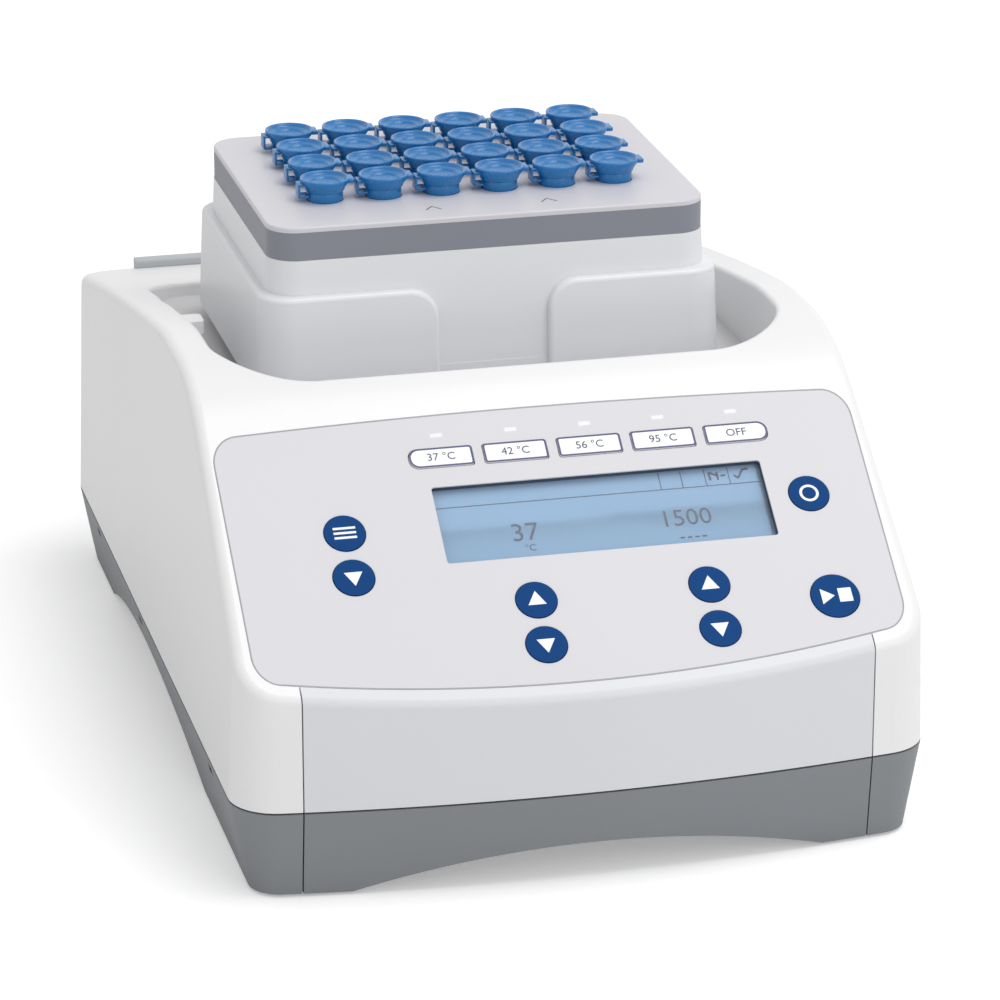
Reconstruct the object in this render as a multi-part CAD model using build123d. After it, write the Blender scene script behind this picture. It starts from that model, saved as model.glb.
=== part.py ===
from build123d import *
import os
from math import asin, copysign, cos, degrees, radians, sin, sqrt, tan

# Thermal mixer for sample tubes: a bench instrument with a sloping keypad and display,
# and a heated block of tubes that orbits in a recess of the deck.
# Millimetres. +Z is up, the front faces -Y, the origin is the middle of the footprint on the bench.

# Housing outline, seen from above, and the height of the recess floor
body_width = 206.0
body_depth = 304.0
well_floor_height = 105.0

# Lengths across, along and upright below are for this size and follow it in proportion
across = body_width / 206.0
along = body_depth / 304.0
upright = well_floor_height / 105.0

# Corners and wall of the housing
front_bow = 8.6
front_corner = 14.5
rear_corner = 20.0
wall = 2.8

# Base
foot_lift = 1.0
base_height = 26.0
base_side_taper = 5.0
base_front_taper = 3.2
base_rear_taper = 3.0
base_wall = 3.0
base_floor = 3.0
floor_clearance = 18.0
front_arch_span = 139.6 * across
front_arch_rise = 10.2
side_arch_span = 165.0 * along
side_arch_rise = 15.7
side_arch_y = 17.5 * along
joint_gap = 0.6
lip_height = 4.0
lip_wall = 1.8

# Side profile of the housing
side_draft = 2.35
panel_slope = 36.7
crest_height = 129.0 * upright
panel_rise = 71.7 * along
crest_front_round = 60.0
crest_flat = 14.0
crest_back_round = 120.0
deck_drop = 8.9
deck_round = 1900.0
rim_round = 3.2

# Front covers between the two seams
seam_x = 84.2 * across
seam_gap = 0.4
cover_gap = 0.1

# Recess of the deck
deck_side = 15.7 * across
well_front = -56.2 * along
well_back = 92.0 * along
well_front_corner = 28.0
well_back_corner = 16.0
well_wall = 2.4
well_rim_round = 1.6
tray_thickness = 2.0
tray_collar = 3.4
tray_collar_wall = 1.8
lug_reach = 4.8
lug_length = 8.0
lug_y = 8.5 * along
lug_drop = 4.0
lug_thickness = 4.0

# Keypad, measured on the slope from the middle of the display
overlay_thickness = 0.5
overlay_half_width = 96.0 * across
overlay_edge = 3.9
overlay_top_y = -72.2 * along
overlay_top_bow = 2.0
overlay_corner = 8.0
display_x = 15.0 * across
display_y = -103.0 * along
display_width = 99.0 * across
display_height = 26.3 * along
gasket_depth = 1.5
gasket_border = 2.0
window_thickness = 1.0
lcd_border = 4.0 * min(across, along)
bar_key_length = 19.0 * across
bar_key_height = 6.6 * along
bar_key_pitch = 22.3 * across
bar_key_rise = 23.2 * along
bar_key_count = 5
light_rise = 31.0 * along
light_length = 3.6 * across
light_height = 1.4
bar_key_round = 1.0 * along
bar_key_end_round = 3.0 * along
round_key_radius = 6.0 * min(across, along)
start_key_radius = 7.2 * min(across, along)
key_places = {
    "menu": (-62.3 * across, 0.0 * along),
    "select": (-62.3 * across, -15.1 * along),
    "temperature_up": (-11.3 * across, -27.9 * along),
    "temperature_down": (-11.3 * across, -42.9 * along),
    "speed_up": (40.1 * across, -27.9 * along),
    "speed_down": (40.1 * across, -42.9 * along),
    "short": (76.6 * across, 0.0 * along),
    "start": (76.2 * across, -35.6 * along),
}
key_gap = 0.25
key_proud = 0.35
key_travel = 0.4
key_flange = 1.1
key_flange_thickness = 0.8
key_stem_radius = 2.5
key_rest_gap = 0.1
switch_radius = 3.0
switch_height = 0.5
board_depth = 6.4
board_thickness = 1.6
board_half_width = 88.0 * across
board_low = -43.0 * along
board_high = 35.0 * along
board_boss_radius = 2.6
board_boss_x = 84.0 * across
board_boss_rises = (-18.0 * along, 30.0 * along)

# Tubes
column_pitch = 18.085 * across
row_pitch = 18.085 * along
tube_columns = 6
tube_rows = 4
front_row_y = 2.05 * along
tube_radius = 5.4
tube_length = 38.5
tube_cone = 17.0
tube_tip_radius = 2.0
tube_wall = 1.0
collar_radius = 6.4
collar_height = 1.2
neck_height = 2.5
lid_radius = 7.2
lid_height = 3.3
lid_plug = 2.0
lid_tab_width = 6.0
lid_tab_reach = 8.8 * across
lid_hinge_reach = 8.7 * across
lid_tab_thickness = 1.2
well_clearance = 0.25

# Block that carries the tubes
orbit_radius = 1.5
block_y = 24.75 * along
plate_width = 134.6 * across
plate_length = 100.5 * along
plate_corner = 9.0
plate_rise = 51.8
plate_thickness = 1.6
band_height = 10.3
band_wall = 3.0
upper_tier_height = 10.7
core_flare = 2.3
core_margin = 0.2
skirt_round = 1.4
step_depth = 3.6
skirt_flare = 1.4
skirt_bottom = 110.0 * upright
cover_wall = 2.4
notch_half_width = 17.0 * across
notch_round = 9.0
block_margin = 11.0

# Heating under the block
cooler_thickness = 4.0
cooler_half_x = 58.0 * across
cooler_half_y = 45.0 * along
fin_count = 9
fin_pitch = 7.0 * across
fin_thickness = 1.6
fin_height = 10.0
fin_half_length = 29.0 * along
peltier_size = 40.0
peltier_thickness = 4.0
peltier_x = 26.0 * across
shelf_thickness = 2.5
shelf_overlap = 4.0

# Mixing drive
table_half_x = 52.0 * across
table_half_y = 44.0 * along
table_thickness = 6.0
table_height = 91.0 * upright
post_radius = 3.5
post_x = 41.0 * across
post_y = 26.0 * along
tray_clearance = 2.0
pin_radius = 4.0
shaft_radius = 4.0
bearing_radius = 11.0
crank_radius = 13.0
crank_thickness = 4.0
crank_gap = 0.5
guide_shaft_radius = 3.0
guide_bearing_radius = 6.5
guide_crank_radius = 6.0
guide_x = 34.0 * across
guide_front = 34.0 * along
guide_back = 36.0 * along
crank_room = 4.0
running_fit = 0.04
seat_fit = 0.03
counterweight_radius = 27.0
counterweight_thickness = 5.0
counterweight_angle = 130.0
frame_thickness = 6.0
frame_leg_radius = 5.0
frame_half_x = 50.0 * across
frame_half_y = 44.0 * along
motor_radius = 30.0
motor_room = 10.5
motor_fin_count = 24
motor_fin_depth = 1.2
motor_flange_width = 5.0
motor_flange_height = 4.0
motor_wall = 5.0
rotor_radius = 20.0
rotor_gap = 1.5
chassis_thickness = 3.0
chassis_height = 34.0 * upright
chassis_half_x = 80.0 * across
chassis_front = -70.0 * along
chassis_fan_gap = 1.0
chassis_corner = 6.0
chassis_flange_height = 8.0
chassis_flange_inset = 12.0
stand_radius = 5.0
stand_x = 70.0 * across
supply_low = (14.0 * across, 76.0 * along)
supply_high = (75.0 * across, 118.0 * along)
supply_stud_height = 4.0
supply_stud_inset = 4.0
transformer_length = 24.0 * along
transformer_width = 22.0
transformer_height = 20.0
cooling_strip_height = 24.0
cooling_strip_thickness = 4.0
supply_part_inset = 8.0
capacitor_radius = 7.0
capacitor_height = 22.0
circuit_low = (-60.0 * across, -128.0 * along)
circuit_high = (60.0 * across, -76.0 * along)
chip_size = 24.0
chip_height = 2.0
plug_length = 24.0
plug_width = 7.0
plug_height = 8.0
plug_inset = 10.0
circuit_height = 30.0

# Rear
rear_panel_half_width = 80.0 * across
rear_panel_bottom = 33.0
rear_panel_thickness = 2.6
rear_panel_setback = 2.4
rear_panel_rim = 2.5
rear_lip_height = 3.6
rear_rim_width = 7.4
rear_ledge = 3.2
panel_clearance = 0.15
fan_side_gap = 5.0
fan_lift = 1.0
fan_size = 60.0 * upright
fan_depth = 15.0
fan_duct_wall = 2.0
fan_hub_radius = 11.0
fan_blades = 7
fan_blade_pitch = 38.0
fan_pin_radius = 2.0
fan_spoke = 3.0
fan_screw_inset = 5.0
fan_screw_radius = 1.5
vent_margin = 2.5
vent_slot_height = 3.2
vent_slot_count = 8
inlet_side_gap = 8.0
inlet_z = 60.0
inlet_flange_width = 52.0
inlet_flange_height = 31.0
inlet_flange_thickness = 2.0
inlet_body_depth = 24.0
socket_offset = -10.5
socket_width = 24.5
socket_height = 16.5
socket_depth = 15.5
socket_chamfer = 4.5
pin_spacing = 7.0
switch_offset = 13.5
rocker_width = 12.6
rocker_half_length = 9.4
rocker_depth = 8.0
rocker_gap = 0.5
rocker_pivot_radius = 1.5
rocker_tilt = 14.0

# Feet and fasteners
foot_radius = 9.0
foot_height = 5.0
foot_stem_radius = 3.0
foot_stem_height = 6.0
foot_x = 80.0 * across
foot_front_y = -118.0 * along
foot_back_y = 120.0 * along
boss_radius = 5.0
screw_radius = 1.9
screw_head_radius = 4.0
screw_head_height = 2.6
screw_length = 22.0
screw_side = 10.5
screw_ys = (-100.0 * along, 20.0 * along, 100.0 * along)
slip = 0.05

well_half_width = body_width / 2 - deck_side
screw_x = body_width / 2 - screw_side
front_edge_height = crest_height - panel_rise
lug_top = crest_height - lug_drop
plate_top = skirt_bottom + plate_rise
guide_places = ((-guide_x, -guide_front), (guide_x, -guide_front), (0.0, guide_back))
split_z = foot_lift + base_height
floor_bottom = foot_lift + floor_clearance
floor_top = floor_bottom + base_floor
housing_z = split_z + joint_gap
cover_pocket = overlay_edge
cover_skin = cover_pocket - cover_gap
front_wall = cover_pocket + wall
lip_outer = wall + 0.2
lip_inner = lip_outer + lip_wall
front_y = -body_depth / 2
rear_y = body_depth / 2
bow_radius = ((body_width / 2) ** 2 + front_bow**2) / (2 * front_bow)
draft_top = crest_height + 12
draft_inset = tan(radians(side_draft)) * (draft_top - split_z)
plate_bottom = plate_top - plate_thickness
band_bottom = plate_top - band_height
step_z = band_bottom - upper_tier_height
tube_mid_y = front_row_y + (tube_rows - 1) * row_pitch / 2
cooler_bottom = skirt_bottom
cooler_top = cooler_bottom + cooler_thickness
block_bottom = cooler_top + peltier_thickness
chassis_top = chassis_height + chassis_thickness
drive_y = block_y - orbit_radius
frame_top = table_height - crank_room - crank_thickness - crank_gap
frame_bottom = frame_top - frame_thickness
motor_height = frame_bottom - chassis_top - motor_room
crank_bottom = frame_top + crank_gap
crank_top = crank_bottom + crank_thickness
rear_panel_back = rear_y - rear_panel_setback
rear_panel_front = rear_panel_back - rear_panel_thickness
fan_front = rear_panel_front - fan_depth
chassis_back = fan_front - chassis_fan_gap
fan_x = fan_side_gap + fan_size / 2 - rear_panel_half_width
fan_z = rear_panel_bottom + fan_lift + fan_size / 2
fan_duct_radius = fan_size / 2 - fan_duct_wall
fan_screw_spacing = fan_size / 2 - fan_screw_inset
vent_radius = fan_duct_radius - vent_margin
vent_slot_pitch = 2 * vent_radius / (vent_slot_count + 0.5)
inlet_x = rear_panel_half_width - inlet_side_gap - inlet_flange_width / 2
tube_bottom = plate_top - tube_length


slope = radians(panel_slope)
display_z = front_edge_height + (display_y - front_y) * tan(slope)
panel_normal = (0, -sin(slope), cos(slope))
ON_PANEL = Plane(origin=(0, display_y, display_z), x_dir=(1, 0, 0), z_dir=panel_normal).location


def save(node, *shapes):
    """Write one named piece, made of one or more bodies, to its STEP file."""
    bodies = []
    for shape in shapes:
        bodies.extend(shape.solids())
    whole = bodies[0] if len(bodies) == 1 else Compound(bodies)
    whole.label = node
    export_step(whole, f"parts/{node}.step")


def box(x_low, x_high, y_low, y_high, z_low, z_high):
    """Upright box between two corners."""
    place = Pos((x_low + x_high) / 2, (y_low + y_high) / 2, (z_low + z_high) / 2)
    return place * Box(x_high - x_low, y_high - y_low, z_high - z_low)


def post(x, y, z_low, z_high, radius):
    """Upright round bar."""
    return Pos(x, y, (z_low + z_high) / 2) * Cylinder(radius, z_high - z_low)


def pad(x, y, z_low, z_high, half_x, half_y, corner):
    """Upright slab with rounded corners."""
    shape = RectangleRounded(2 * half_x, 2 * half_y, corner)
    return Pos(x, y, z_low) * extrude(shape, amount=z_high - z_low)


def plan_face(z, side, front, rear):
    """Housing outline at height z, moved inward by side, front and rear."""
    half = body_width / 2 - side
    centre_y = front_y + bow_radius
    radius = bow_radius - front
    corner_y = centre_y - sqrt(radius**2 - half**2)
    back_y = rear_y - rear
    bow = ThreePointArc((-half, corner_y), (0, centre_y - radius), (half, corner_y))
    right = Line((half, corner_y), (half, back_y))
    back = Line((half, back_y), (-half, back_y))
    left = Line((-half, back_y), (-half, corner_y))
    face = make_face([bow.edge(), right.edge(), back.edge(), left.edge()])
    face = fillet(face.vertices().sort_by(Axis.Y)[:2], max(front_corner - side, 1.0))
    face = fillet(face.vertices().sort_by(Axis.Y)[-2:], max(rear_corner - side, 1.0))
    return Pos(0, 0, z) * face


def tapered(z_low, low, z_high, high):
    """Solid between two housing outlines, each given as its side, front and rear inset."""
    return loft([plan_face(z_low, *low).face(), plan_face(z_high, *high).face()])


def profile_block(inset):
    """Everything under the panel, crest and deck, moved inward by inset."""
    overrun = 20.0
    corner_y = front_y + panel_rise / tan(slope)
    tangent = crest_front_round * tan(slope / 2)
    shift = Vector(sin(slope) * inset, -cos(slope) * inset)
    uphill = Vector(cos(slope), sin(slope))
    low = Vector(front_y, front_edge_height) - uphill * overrun + shift
    high = Vector(corner_y, crest_height) - uphill * tangent + shift
    panel = Line(low, high)
    crest = JernArc(high, uphill, crest_front_round - inset, -panel_slope)
    flat = Line(crest @ 1, (crest @ 1) + Vector(crest_flat, 0))
    back = JernArc(flat @ 1, (1, 0), crest_back_round - inset, -deck_drop)
    drop = radians(deck_drop)
    reach = (rear_y + overrun - (back @ 1).X) / (deck_round - inset)
    deck_turn = degrees(asin(sin(drop) + reach)) - deck_drop
    deck = JernArc(back @ 1, (cos(drop), -sin(drop)), deck_round - inset, -deck_turn)
    rear = Line(deck @ 1, ((deck @ 1).X, 0))
    bottom = Line(rear @ 1, (low.X, 0))
    front = Line(bottom @ 1, low)
    outline = [piece.edge() for piece in (panel, crest, flat, back, deck, rear, bottom, front)]
    return extrude(Plane.YZ * make_face(outline), amount=body_width, both=True)


def housing_solid(z_low, inward=0.0, front_inward=0.0):
    """Upper housing as a solid block, moved inward from its outer faces."""
    low = (inward + draft_inset * (z_low - split_z) / (draft_top - split_z), front_inward, inward)
    high = (inward + draft_inset, front_inward, inward)
    return tapered(z_low, low, draft_top, high) & profile_block(inward)


def base_solid(z_low, z_high, inward=0.0, front_inward=0.0):
    """Base as a solid block between two heights, moved inward from its outer faces."""

    def insets(z):
        share = (split_z - z) / base_height
        side = base_side_taper * share + inward
        return (side, base_front_taper * share + front_inward, base_rear_taper * share + inward)

    return tapered(z_low, insets(z_low), z_high, insets(z_high))


def round_rim(body):
    """Soft edge all round the top of the housing."""
    rim = []
    for edge in body.edges():
        bounds = edge.bounding_box()
        crosswise = bounds.size.X > body_width / 2 and front_y + 1 < edge.center().Y < rear_y - 1
        if bounds.min.Z > housing_z + 5 and not crosswise:
            rim.append(edge)
    return fillet(rim, rim_round)


def well_block(z_low, z_high, grow=0.0):
    """Recess of the deck as a solid block."""
    half = well_half_width + grow
    low, high = well_front - grow, well_back + grow
    face = make_face(Polyline((-half, low), (half, low), (half, high), (-half, high), close=True).edges())
    face = fillet(face.vertices().sort_by(Axis.Y)[:2], well_front_corner + grow)
    face = fillet(face.vertices().sort_by(Axis.Y)[-2:], well_back_corner + grow)
    return extrude(Pos(0, 0, z_low) * face, amount=z_high - z_low)


def round_well_rim(body):
    """Soft edge where the deck turns down into the recess."""
    rim = []
    for edge in body.edges():
        bounds = edge.bounding_box()
        inside = bounds.max.Y < well_back + 0.1 and bounds.min.Y > well_front - 0.1
        narrow = bounds.max.X < well_half_width + 0.1 and bounds.min.X > -well_half_width - 0.1
        upright = bounds.size.Z > well_floor_height / 10 and bounds.size.X + bounds.size.Y < 0.1
        if inside and narrow and not upright and bounds.min.Z > well_floor_height:
            rim.append(edge)
    return fillet(rim, well_rim_round)


def overlay_face(grow=0.0):
    """Outline of the keypad membrane, seen from above."""
    half = overlay_half_width + grow
    centre_y = front_y + bow_radius
    radius = bow_radius - overlay_edge + grow
    low_y = centre_y - sqrt(radius**2 - half**2)
    top_y = overlay_top_y + grow
    low = ThreePointArc((-half, low_y), (0, centre_y - radius), (half, low_y))
    right = Line((half, low_y), (half, top_y - overlay_top_bow))
    top = ThreePointArc((half, top_y - overlay_top_bow), (0, top_y), (-half, top_y - overlay_top_bow))
    left = Line((-half, top_y - overlay_top_bow), (-half, low_y))
    face = make_face([low.edge(), right.edge(), top.edge(), left.edge()])
    return fillet(face.vertices(), overlay_corner + grow)


def panel_skin(face, top, bottom):
    """Layer of the sloping panel between two depths, cut to an outline seen from above."""
    column = extrude(Pos(0, 0, housing_z) * face, amount=crest_height)
    return column & (profile_block(top) - profile_block(bottom))


def slab(shape, low, high):
    """Flat shape raised between two heights of its own plane."""
    return Pos(0, 0, low) * extrude(shape, amount=high - low)


def bar_outline(index, grow):
    """Outline of one key of the long row; the outer ends of the row are rounder."""
    shape = Rectangle(bar_key_length + 2 * grow, bar_key_height + 2 * grow)
    ends = shape.vertices().sort_by(Axis.X)
    left_round = bar_key_end_round if index == 0 else bar_key_round
    right_round = bar_key_end_round if index == bar_key_count - 1 else bar_key_round
    shape = fillet(ends[:2], left_round)
    shape = fillet(shape.vertices().sort_by(Axis.X)[-2:], right_round)
    return shape


def key_outlines(grow=0.0):
    """Every key as its name, its place on the panel and its outline."""
    outlines = []
    for index in range(bar_key_count):
        x = display_x + (index - (bar_key_count - 1) / 2) * bar_key_pitch
        outlines.append((f"key_preset_{index + 1}", (x, bar_key_rise), bar_outline(index, grow)))
    for name, place in key_places.items():
        radius = start_key_radius if name == "start" else round_key_radius
        outlines.append((f"key_{name}", place, Circle(radius + grow)))
    return outlines


def key_bodies():
    """Key caps with the flange that holds each one under the panel and the stem over its switch."""
    flange_top = -wall - key_rest_gap
    flange_bottom = flange_top - key_flange_thickness
    stem_bottom = -board_depth + switch_height + key_rest_gap + key_travel
    wide = {name: outline for name, place, outline in key_outlines(key_flange)}
    keys = {}
    for name, place, outline in key_outlines():
        cap = slab(outline, flange_top, key_proud)
        flange = slab(wide[name], flange_bottom, flange_top)
        stem = slab(Circle(key_stem_radius), stem_bottom, flange_bottom)
        keys[name] = ON_PANEL * (Pos(*place) * (cap + flange + stem))
    return keys


def key_holes():
    """Openings for the keys, cut through the panel."""
    holes = [Pos(*place) * slab(outline, -2 * wall, wall) for name, place, outline in key_outlines(key_gap)]
    return ON_PANEL * Compound(holes)


def light_bars():
    """Small lights above the long row of keys, from the panel surface down to the board."""
    bars = []
    for index in range(bar_key_count):
        x = display_x + (index - (bar_key_count - 1) / 2) * bar_key_pitch
        bars.append(Pos(x, light_rise) * slab(Rectangle(light_length, light_height), -board_depth, 0))
    return bars


def display_rectangle(grow=0.0):
    """Display outline, centred on the display."""
    width, height = display_width + 2 * grow, display_height + 2 * grow
    return Pos(display_x, 0) * RectangleRounded(width, height, 1.0 + grow)


def keypad_overlay():
    """Membrane with the openings of the keys, the lights and the display."""
    skin = panel_skin(overlay_face(), 0, overlay_thickness)
    skin -= ON_PANEL * slab(display_rectangle(), -wall, wall)
    skin -= key_holes()
    for bar in light_bars():
        skin -= ON_PANEL * bar
    return skin


def display_parts():
    """Dark gasket, clear window and display module, stacked under the membrane."""
    gasket_low = -overlay_thickness - gasket_depth
    gasket = slab(display_rectangle(gasket_border) - display_rectangle(), gasket_low, -overlay_thickness)
    window = slab(display_rectangle(gasket_border), -wall, gasket_low)
    module = slab(display_rectangle(lcd_border), -board_depth, -wall)
    return ON_PANEL * gasket, ON_PANEL * window, ON_PANEL * module


def board_bosses(radius):
    """Studs that carry the keypad board, between the panel and the board."""
    studs = []
    for x in (-board_boss_x, board_boss_x):
        for v in board_boss_rises:
            studs.append(Pos(x, v) * slab(Circle(radius), -board_depth, -wall / 2))
    return ON_PANEL * Compound(studs)


def keypad_board():
    """Circuit board behind the panel with one dome switch under every key."""
    middle = (board_low + board_high) / 2
    shape = Pos(0, middle) * RectangleRounded(2 * board_half_width, board_high - board_low, 3.0)
    board = slab(shape, -board_depth - board_thickness, -board_depth)
    for name, place, outline in key_outlines():
        dome = slab(Circle(switch_radius), -board_depth, -board_depth + switch_height)
        board += Pos(*place) * chamfer(dome.edges().group_by(Axis.Z)[-1], switch_height / 2)
    return ON_PANEL * board


def seam_block(grow=0.0):
    """Region of the front covers between the two seams."""
    half = seam_x + grow
    return box(-half, half, 2 * front_y, front_y / 2, 0, crest_height)


def rear_opening(clearance):
    """Space of the rear panel, open at the top of the deck."""
    half = rear_panel_half_width + clearance
    low_y, low_z = rear_panel_front - clearance, rear_panel_bottom - clearance
    return box(-half, half, low_y, 2 * rear_y, low_z, 2 * crest_height)


def screw_places():
    """Positions of the screws that hold the housing to the base."""
    return [(side * screw_x, y) for side in (-1, 1) for y in screw_ys]


def stand_places():
    """Positions of the stands that carry the chassis plate."""
    inset = 2 * stand_radius
    return [(side * stand_x, y) for side in (-1, 1) for y in (chassis_front + inset, chassis_back - inset)]


def upper_housing():
    """White housing: panel, crest and deck with the walls of the recess hanging from it."""
    body = round_rim(housing_solid(housing_z))
    body -= well_block(well_floor_height / 2, 2 * crest_height)
    body = round_well_rim(body)
    inside = housing_solid(split_z - 1, wall, front_wall)
    hanging = well_block(well_floor_height, 2 * crest_height, well_wall)
    body -= inside - hanging
    lug_front, lug_back = lug_y - lug_length / 2, lug_y + lug_length / 2
    lug_low = lug_top - lug_thickness
    lug = box(-well_half_width - 1, -well_half_width + lug_reach, lug_front, lug_back, lug_low, lug_top)
    body += fillet(lug.edges().filter_by(Axis.Z).sort_by(Axis.X)[-2:], 1.5)
    body -= seam_block() - housing_solid(split_z - 1, 0.0, cover_pocket)
    for side in (-1, 1):
        inner, outer = side * (rear_panel_half_width - rear_ledge), side * (rear_panel_half_width + wall)
        x_low, x_high = min(inner, outer), max(inner, outer)
        ledge = box(x_low, x_high, rear_panel_front - wall, rear_y - 1, rear_panel_bottom, crest_height)
        body += ledge & housing_solid(split_z, 1.0, front_wall)
    body -= rear_opening(panel_clearance)
    for x, y in screw_places():
        outward = x + copysign(boss_radius + wall, x)
        web = box(min(x, outward), max(x, outward), y - 1.5, y + 1.5, housing_z + 1, split_z + screw_length)
        body += post(x, y, floor_top, split_z + screw_length, boss_radius)
        body += web & housing_solid(split_z, 1.0, front_wall)
        body -= post(x, y, floor_top - 1, floor_bottom + screw_length, screw_radius + slip)
    body += board_bosses(board_boss_radius)
    body -= panel_skin(overlay_face(cover_gap), -rim_round, overlay_thickness)
    body -= ON_PANEL * slab(display_rectangle(gasket_border + cover_gap), -2 * wall, wall)
    body -= key_holes()
    for bar in light_bars():
        body -= ON_PANEL * bar
    return body


def front_cover():
    """White skin of the front face between the seams."""
    body = round_rim(housing_solid(housing_z))
    body &= seam_block(-seam_gap)
    return body - housing_solid(split_z - 1, 0.0, cover_skin) 


def arches():
    """Shallow arches under the front and under both sides."""
    front_radius = ((front_arch_span / 2) ** 2 + front_arch_rise**2) / (2 * front_arch_rise)
    side_radius = ((side_arch_span / 2) ** 2 + side_arch_rise**2) / (2 * side_arch_rise)
    front_centre = foot_lift + front_arch_rise - front_radius
    side_centre = foot_lift + side_arch_rise - side_radius
    front_drum = Pos(0, front_y, front_centre) * Rot(90, 0, 0) * Cylinder(front_radius, body_depth / 4)
    side_drum = Pos(0, side_arch_y, side_centre) * Rot(0, 90, 0) * Cylinder(side_radius, 2 * body_width)
    return front_drum, side_drum


def base_shell():
    """Grey base: skirt, floor, stands, and the lip that centres the housing."""
    front_drum, side_drum = arches()
    body = base_solid(foot_lift, split_z)
    body -= seam_block() - base_solid(foot_lift - 1, split_z + 1, 0.0, cover_pocket)
    body -= base_solid(foot_lift - 1, floor_bottom, base_wall, cover_pocket + base_wall)
    lip = plan_face(floor_top, lip_outer, front_wall + 0.2, lip_outer)
    hollow = plan_face(floor_top, lip_inner, front_wall + 0.2 + lip_wall, lip_inner)
    body += extrude(lip, amount=split_z + lip_height - floor_top)
    body -= extrude(hollow, amount=split_z + lip_height)
    body -= front_drum
    body -= side_drum
    for x, y in screw_places():
        body -= post(x, y, floor_top, 2 * split_z, boss_radius + 2 * slip)
        outward = x + copysign(2 * boss_radius, x)
        body -= box(min(x, outward), max(x, outward), y - wall, y + wall, floor_top, 2 * split_z)
        body -= post(x, y, 0, floor_top + 1, screw_radius + 4 * slip)
    for x, y in stand_places():
        body += post(x, y, floor_top - 1, chassis_height, stand_radius)
    for x in (circuit_low[0] + 6, circuit_high[0] - 6):
        for y in (circuit_low[1] + 6, circuit_high[1] - 6):
            body += post(x, y, floor_top - 1, circuit_height, stand_radius / 2)
    for x, y in foot_places():
        body += post(x, y, foot_lift + foot_height - 1, floor_bottom + 1, foot_radius)
        body -= post(x, y, 0, foot_lift + foot_height - 1 + foot_stem_height, foot_stem_radius + slip)
    return body


def base_front_cover():
    """Grey skin of the base front between the seams."""
    front_drum, side_drum = arches()
    body = base_solid(foot_lift, split_z) & seam_block(-seam_gap)
    body -= base_solid(foot_lift - 1, split_z + 1, 0.0, cover_skin)
    return body - front_drum


def foot_places():
    """Positions of the four feet."""
    return [(side * foot_x, y) for side in (-1, 1) for y in (foot_front_y, foot_back_y)]


def rubber_feet():
    """Round feet, each with a stem pushed up into the base."""
    feet = []
    for x, y in foot_places():
        foot = post(x, y, 0, foot_height, foot_radius)
        foot = fillet(foot.edges().group_by(Axis.Z)[0], 0.8)
        feet.append(foot + post(x, y, foot_height - 1, foot_height + foot_stem_height - 1, foot_stem_radius))
    return feet


def screw(length, radius, head_radius, head_height):
    """Screw pointing up, its head below the origin plane, with a cross recess."""
    body = post(0, 0, -head_height, 0, head_radius) + post(0, 0, -slip, length, radius)
    body = fillet(body.edges().group_by(Axis.Z)[0], head_height / 4)
    half = head_radius / 2
    for angle in (0, 90):
        body -= Rot(0, 0, angle) * box(-half, half, -0.4, 0.4, -2 * head_height, -head_height / 2)
    return body


def housing_screws():
    """Screws up through the base floor into the housing."""
    one = screw(screw_length - 2, screw_radius, screw_head_radius, screw_head_height)
    return [Pos(x, y, floor_bottom) * one for x, y in screw_places()]


def chassis_plate():
    """Sheet steel plate on the stands of the base; it carries the drive, the supply and the fan side."""
    middle = (chassis_front + chassis_back) / 2
    half_y = (chassis_back - chassis_front) / 2
    plate = pad(0, middle, chassis_height, chassis_top, chassis_half_x, half_y, chassis_corner)
    half = chassis_thickness / 2
    low_y, high_y = chassis_front + chassis_flange_inset, chassis_back - chassis_flange_inset
    for x in (-chassis_half_x + half, chassis_half_x - half):
        plate += box(x - half, x + half, low_y, high_y, chassis_height, chassis_top + chassis_flange_height)
    return plate


def motor_housing():
    """Motor casing with a closed bottom and a bore for the shaft at the top."""
    low = chassis_top
    high = chassis_top + motor_height
    body = post(0, drive_y, low, high, motor_radius)
    body = fillet(body.edges().group_by(Axis.Z)[-1], 3.0)
    body += post(0, drive_y, low, low + motor_flange_height, motor_radius + motor_flange_width)
    body -= post(0, drive_y, low + motor_wall, high - motor_wall, rotor_radius + rotor_gap)
    body -= post(0, drive_y, low + motor_wall / 2, high + 1, shaft_radius + running_fit)
    half = motor_fin_depth
    inner, outer = motor_radius - motor_fin_depth, motor_radius + motor_fin_depth
    groove = box(inner, outer, -half, half, low + 1.5 * motor_flange_height, high - 1.5 * motor_flange_height)
    for index in range(motor_fin_count):
        body -= Pos(0, drive_y) * Rot(0, 0, 360 / motor_fin_count * index) * groove
    return body


def motor_rotor():
    """Laminated rotor on the shaft, inside the motor."""
    low = chassis_top + motor_wall + rotor_gap
    high = chassis_top + motor_height - motor_wall - rotor_gap
    return post(0, drive_y, low, high, rotor_radius) - post(0, drive_y, low, high, shaft_radius + seat_fit)


def eccentric_shaft():
    """Motor shaft with the crank disc and the offset pin that moves the table."""
    shaft = post(0, drive_y, chassis_top + motor_wall / 2 + 0.3, crank_bottom + 1, shaft_radius)
    disc = post(0, drive_y, crank_bottom, crank_top, crank_radius)
    pin = post(0, block_y, crank_top - 1, table_height + table_thickness - 0.5, pin_radius)
    return shaft + disc + pin


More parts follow.
